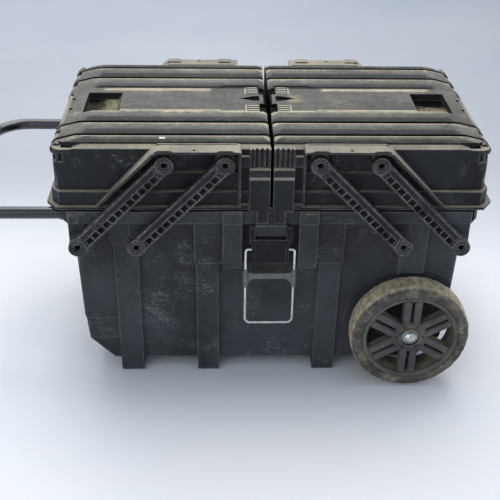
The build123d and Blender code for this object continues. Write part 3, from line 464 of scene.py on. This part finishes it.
def tyre_material():
    g = Graph("tyre_dirty_rubber")
    n1 = g.noise(34.0, 7.0, 0.75, None, 0.3)
    n2 = g.noise(120.0, 5.0, 0.7)
    dx = g.math("SUBTRACT", g.x, 0.294)
    dz = g.math("SUBTRACT", g.z, 0.093)
    rad = g.math("SQRT", g.add(g.mul(dx, dx), g.mul(dz, dz)))
    tread = g.remap(rad, 0.0885, 0.0918)
    rubber = g.mix(g.remap(n1, 0.3, 0.7), lin(66, 64, 60), lin(90, 86, 80))
    clay = g.mix(g.remap(n2, 0.35, 0.65), lin(152, 137, 111), lin(214, 195, 162))
    wall = g.mul(g.remap(n1, 0.42, 0.7), 0.5)
    on_tread = g.mul(tread, g.remap(n1, 0.28, 0.6, 0.55, 1.0))
    col = g.mix(g.math("MAXIMUM", wall, on_tread), rubber, clay)
    # bare dark rubber shows in patches
    col = g.mix(g.mul(g.remap(g.noise(90.0, 5.0, 0.75), 0.54, 0.7), 0.5), col, lin(52, 49, 45))
    col = g.mix(g.mul(g.specks(160.0, 0.12, 0.2), 0.5), col, lin(168, 152, 124))
    bead = g.remap(rad, 0.0772, 0.0750)
    col = g.mix(g.mul(bead, 0.5), col, lin(44, 43, 42))
    tex = g.add(g.mul(n2, 1.0), g.mul(g.noise(420.0, 4.0, 0.7), 0.8), g.mul(g.noise(60.0, 3.0, 0.6), 1.2))
    g.set(Base_Color=col, Roughness=g.remap(n2, 0.3, 0.7, 0.75, 0.97), Specular_IOR_Level=0.25, Normal=g.bump(tex, 0.6, 0.0009))
    return g.mat


def tube_material():
    g = Graph("gloss_black_tube")
    n1 = g.noise(14.0, 5.0, 0.6)
    n2 = g.noise(300.0, 3.0, 0.6)
    col = g.mix(g.remap(n1, 0.3, 0.7), lin(19, 20, 24), lin(32, 33, 38))
    pale_mark = g.mul(g.remap(g.noise(1.0, 4.0, 0.6, g.vec(scale=(7, 320, 320))), 0.62, 0.74), 0.45)
    col = g.mix(pale_mark, col, lin(92, 92, 94))
    col = g.mix(g.mul(g.specks(140.0, 0.05, 0.14), 0.7), col, lin(150, 146, 136))
    up = g.mul(g.remap(g.nz, 0.55, 1.0), g.remap(n1, 0.4, 0.7), 0.22)
    col = g.mix(up, col, lin(112, 108, 98))
    g.set(Base_Color=col, Roughness=g.remap(n1, 0.3, 0.7, 0.2, 0.36), Specular_IOR_Level=0.5, Coat_Weight=0.35, Coat_Roughness=0.15,
          Normal=g.bump(n2, 0.12, 0.0002))
    return g.mat


def metal(name, base, rough, dirt=0.25, streak=True):
    g = Graph(name)
    n1 = g.noise(60.0, 5.0, 0.65)
    n2 = g.noise(1.0, 3.0, 0.6, g.vec(scale=(900, 900, 60)))
    dark = tuple(c * 0.62 for c in base[:3]) + (1.0,)
    col = g.mix(g.remap(n1, 0.35, 0.72), base, dark)
    col = g.mix(g.mul(g.remap(g.noise(170.0, 4.0, 0.7), 0.58, 0.72), dirt), col, lin(96, 86, 70))
    edge, bev = g.edge(0.0004)
    tex = g.add(n1, g.mul(n2, 0.5))
    g.set(Base_Color=col, Metallic=1.0, Roughness=g.remap(n1, 0.3, 0.7, rough, rough + 0.22), Normal=g.bump(tex, 0.12, 0.0002, bev))
    return g.mat


def clip_material():
    g = Graph("clip_grey_plastic")
    n1 = g.noise(70.0, 5.0, 0.62)
    col = g.mix(g.remap(n1, 0.3, 0.7), lin(88, 89, 90), lin(108, 109, 109))
    edge, bev = g.edge(0.0006)
    # pale edges: partly wear, partly a painted edge highlight
    col = g.mix(g.mul(edge, 0.55), col, lin(136, 136, 132))
    col = g.mix(g.mul(g.scratches(2.0, 0.2, 16.0, 500.0), 0.4), col, lin(150, 150, 146))
    col = g.mix(g.mul(g.specks(160.0, 0.07, 0.18), 0.6), col, lin(50, 49, 47))
    g.set(Base_Color=col, Roughness=g.remap(n1, 0.3, 0.7, 0.45, 0.62), Specular_IOR_Level=0.4, Normal=g.bump(g.noise(900.0, 3.0, 0.6), 0.2, 0.0003, bev))
    return g.mat


def under_openings(g):
    """The strip of tray seen through the lids' catch openings, painted near-black as the shade under the lids."""
    px = g.math("ABSOLUTE", g.math("SUBTRACT", g.x, 0.073))
    return g.mul(g.remap(px, 0.0165, 0.0145), g.remap(g.math("ABSOLUTE", g.y), 0.058, 0.054))


bin_black = plastic("bin_scuffed_plastic", lin(50, 51, 53), GREY_DUST, 0.85, scuff=1.5, edge_wear_highlight_level=0.8, rough=0.54, seed=0.0, spec=0.19)
tray_black = plastic("tray_scuffed_plastic", lin(29, 30, 32), lin(162, 154, 136), 0.9, scuff=0.9, edge_wear_highlight_level=0.8, rough=0.5, seed=3.7, dust_from=0.25, dust_to=0.7, spec=0.17, dark=under_openings)
arm_black = plastic("arm_scuffed_nylon", lin(21, 21, 23), GREY_DUST, 0.5, scuff=0.7, edge_wear_highlight_level=0.85, rough=0.3, seed=8.2, bevel=0.0006, wear_highlight_band=0.0011,
                    edge_wear_highlight_tint=lin(186, 184, 178), spec=0.28, dust_from=0.4, dust_to=0.9)
latch_black = plastic("latch_nylon", lin(14, 14, 16), GREY_DUST, 0.3, scuff=0.6, edge_wear_highlight_level=0.6, rough=0.34, seed=5.1, bevel=0.0006, wear_highlight_band=0.0013, spec=0.18)
guide_black = plastic("guide_acetal", lin(30, 30, 30), GREY_DUST, 0.3, scuff=0.4, edge_wear_highlight_level=0.3, rough=0.35, seed=1.1, bevel=0.0004)
lids = {"left": lid_material("left"), "right": lid_material("right")}
rim_mat = rim_material()
tyre_mat = tyre_material()
tube_mat = tube_material()
wire_mat = metal("zinc_wire", lin(222, 223, 216), 0.26, 0.12)
nut_mat = metal("zinc_nut", lin(205, 206, 200), 0.2, 0.35)
axle_mat = metal("bright_steel", lin(168, 168, 166), 0.3, 0.3)
clip_mat = clip_material()

by_node = {
    "bin_body": bin_black, "bin_arm_studs": arm_black, "left_tray_studs": arm_black, "right_tray_studs": arm_black,
    "axle": axle_mat, "axle_washers": axle_mat, "axle_nuts": nut_mat, "latch_pin": axle_mat,
    "handle_guides": guide_black, "handle_end_stops": guide_black, "pull_handle": tube_mat,
    "left_tray": tray_black, "right_tray": tray_black, "left_lid": lids["left"], "right_lid": lids["right"],
    "left_lid_hinge_pins": axle_mat, "right_lid_hinge_pins": axle_mat, "main_latch": latch_black,
    "wire_bail": wire_mat, "bail_clip": clip_mat, "front_wheel_rim": rim_mat, "rear_wheel_rim": rim_mat,
    "front_tyre": tyre_mat, "rear_tyre": tyre_mat,
}
for name, o in nodes.items():
    mat = by_node.get(name, arm_black)
    o.data.materials.clear()
    o.data.materials.append(mat)


# --------------------------------------------------------------------- tyres
def tyre(name, side, body, replaces):
    """A worn solid-rubber tyre: turned section with rounded shoulders, then shallow worn lumps pressed into the tread."""
    cx, cz = 0.294, 0.093
    # radius and distance from the middle plane, in mm, from the inner bead round the tread to the outer bead
    prof = [(74.4, 150.6), (76.2, 149.3), (78.6, 149.0), (82.0, 149.1), (85.0, 149.7), (87.4, 150.8), (89.6, 152.6), (91.1, 155.0), (92.1, 158.0)]
    n_tread = 22
    prof += [(92.5 + 0.5 * math.sin(math.pi * (i + 0.5) / n_tread), 158.0 + (186.6 - 158.0) * (i + 0.5) / n_tread) for i in range(n_tread)]
    prof += [(92.1, 186.8), (91.1, 189.4), (89.7, 191.6), (87.6, 193.4), (85.0, 194.5), (82.0, 194.9), (79.0, 195.0), (76.6, 194.4), (74.8, 193.6), (73.8, 192.8),
             (73.8, 191.0), (72.8, 190.0), (72.8, 154.6), (74.4, 153.6)]
    seg = 300
    bm = bmesh.new()
    rings = []
    for k in range(seg):
        a = 2 * math.pi * k / seg
        ring = []
        for r, y in prof:
            shoulder = max(0.0, min(1.0, (r - 85.5) / 4.5))
            if shoulder > 0 and r > 80:
                p = Vector((math.cos(a) * r, y * side, math.sin(a) * r))
                big = noise.noise(p * 0.075 + Vector((3.1, 0, 7.7)))
                mid = noise.noise(p * 0.20 + Vector((0, 9.2, 1.7)))
                small = noise.noise(p * 0.55)
                # worn blocks: broad flats that alternate round the tread and a shallow step between them
                block = math.sin(a * 26 + 1.6 * math.sin((y - 171) * 0.14))
                step = max(0.0, min(1.0, (block + 0.55) * 3.0))
                loss = 0.42 + 0.62 * big + 0.46 * mid + 0.30 * small + 0.42 * (1 - step)
                r = r - shoulder * max(0.0, loss)
            ring.append(bm.verts.new((cx + math.cos(a) * r / 1000, side * y / 1000, cz + math.sin(a) * r / 1000)))
        rings.append(ring)
    n = len(prof)
    for k in range(seg):
        a, b = rings[k], rings[(k + 1) % seg]
        for i in range(n):
            j = (i + 1) % n
            bm.faces.new((a[i], a[j], b[j], b[i]))
    bmesh.ops.recalc_face_normals(bm, faces=bm.faces)
    me = bpy.data.meshes.new(name)
    bm.to_mesh(me)
    bm.free()
    me.polygons.foreach_set("use_smooth", [True] * len(me.polygons))
    me.materials.append(tyre_mat)
    o = bpy.data.objects.new(name, me)
    scene.collection.objects.link(o)
    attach(o, body)
    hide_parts(replaces)
    return o


tyre("front_worn_tyre", -1, "front_wheel", "front_tyre")
tyre("rear_worn_tyre", 1, "rear_wheel", "rear_tyre")


# --------------------------------------------------------------------- stage
def floor_material():
    g = Graph("pale_floor")
    n = g.noise(1.3, 4.0, 0.5)
    fine = g.noise(60.0, 4.0, 0.6)
    near = g.mix(g.remap(n, 0.3, 0.7), lin(220, 220, 222), lin(227, 226, 226))
    far = g.mix(g.remap(n, 0.3, 0.7), lin(157, 160, 165), lin(165, 167, 171))
    col = g.mix(g.remap(g.y, -0.1, 0.7), near, far)
    g.set(Base_Color=col, Roughness=g.remap(fine, 0.3, 0.7, 0.55, 0.7), Specular_IOR_Level=0.25, Normal=g.bump(fine, 0.03, 0.0005))
    return g.mat


bm = bmesh.new()
bmesh.ops.create_grid(bm, x_segments=8, y_segments=8, size=14.0)
me = bpy.data.meshes.new("floor")
bm.to_mesh(me)
bm.free()
me.materials.append(floor_material())
floor = bpy.data.objects.new("floor", me)
scene.collection.objects.link(floor)

world = bpy.data.worlds.new("sky")
scene.world = world
world.use_nodes = True
bg = world.node_tree.nodes.get("Background") or world.node_tree.nodes.new("ShaderNodeBackground")
bg.inputs["Color"].default_value = (0.70, 0.82, 1.0, 1.0)
bg.inputs["Strength"].default_value = 0.72


def area(name, loc, target, size, power, color=(1, 1, 1), size_y=None):
    d = bpy.data.lights.new(name, "AREA")
    d.energy = power
    d.color = color
    d.shape = "RECTANGLE"
    d.size = size
    d.size_y = size_y or size
    o = bpy.data.objects.new(name, d)
    o.location = loc
    o.rotation_euler = (Vector(target) - Vector(loc)).to_track_quat("-Z", "Y").to_euler()
    scene.collection.objects.link(o)
    return o


area("top_softbox", (0.2, 0.7, 2.6), (0.0, 0.0, 0.2), 2.4, 71.0, (1.0, 0.975, 0.935), 2.0)
area("back_softbox", (-0.6, 2.4, 1.7), (0.0, 0.0, 0.35), 2.2, 25.0, (0.92, 0.96, 1.0), 1.4)
area("front_fill", (-1.6, -2.4, 1.5), (0.0, 0.0, 0.2), 1.8, 12.0, (1.0, 1.0, 1.0))
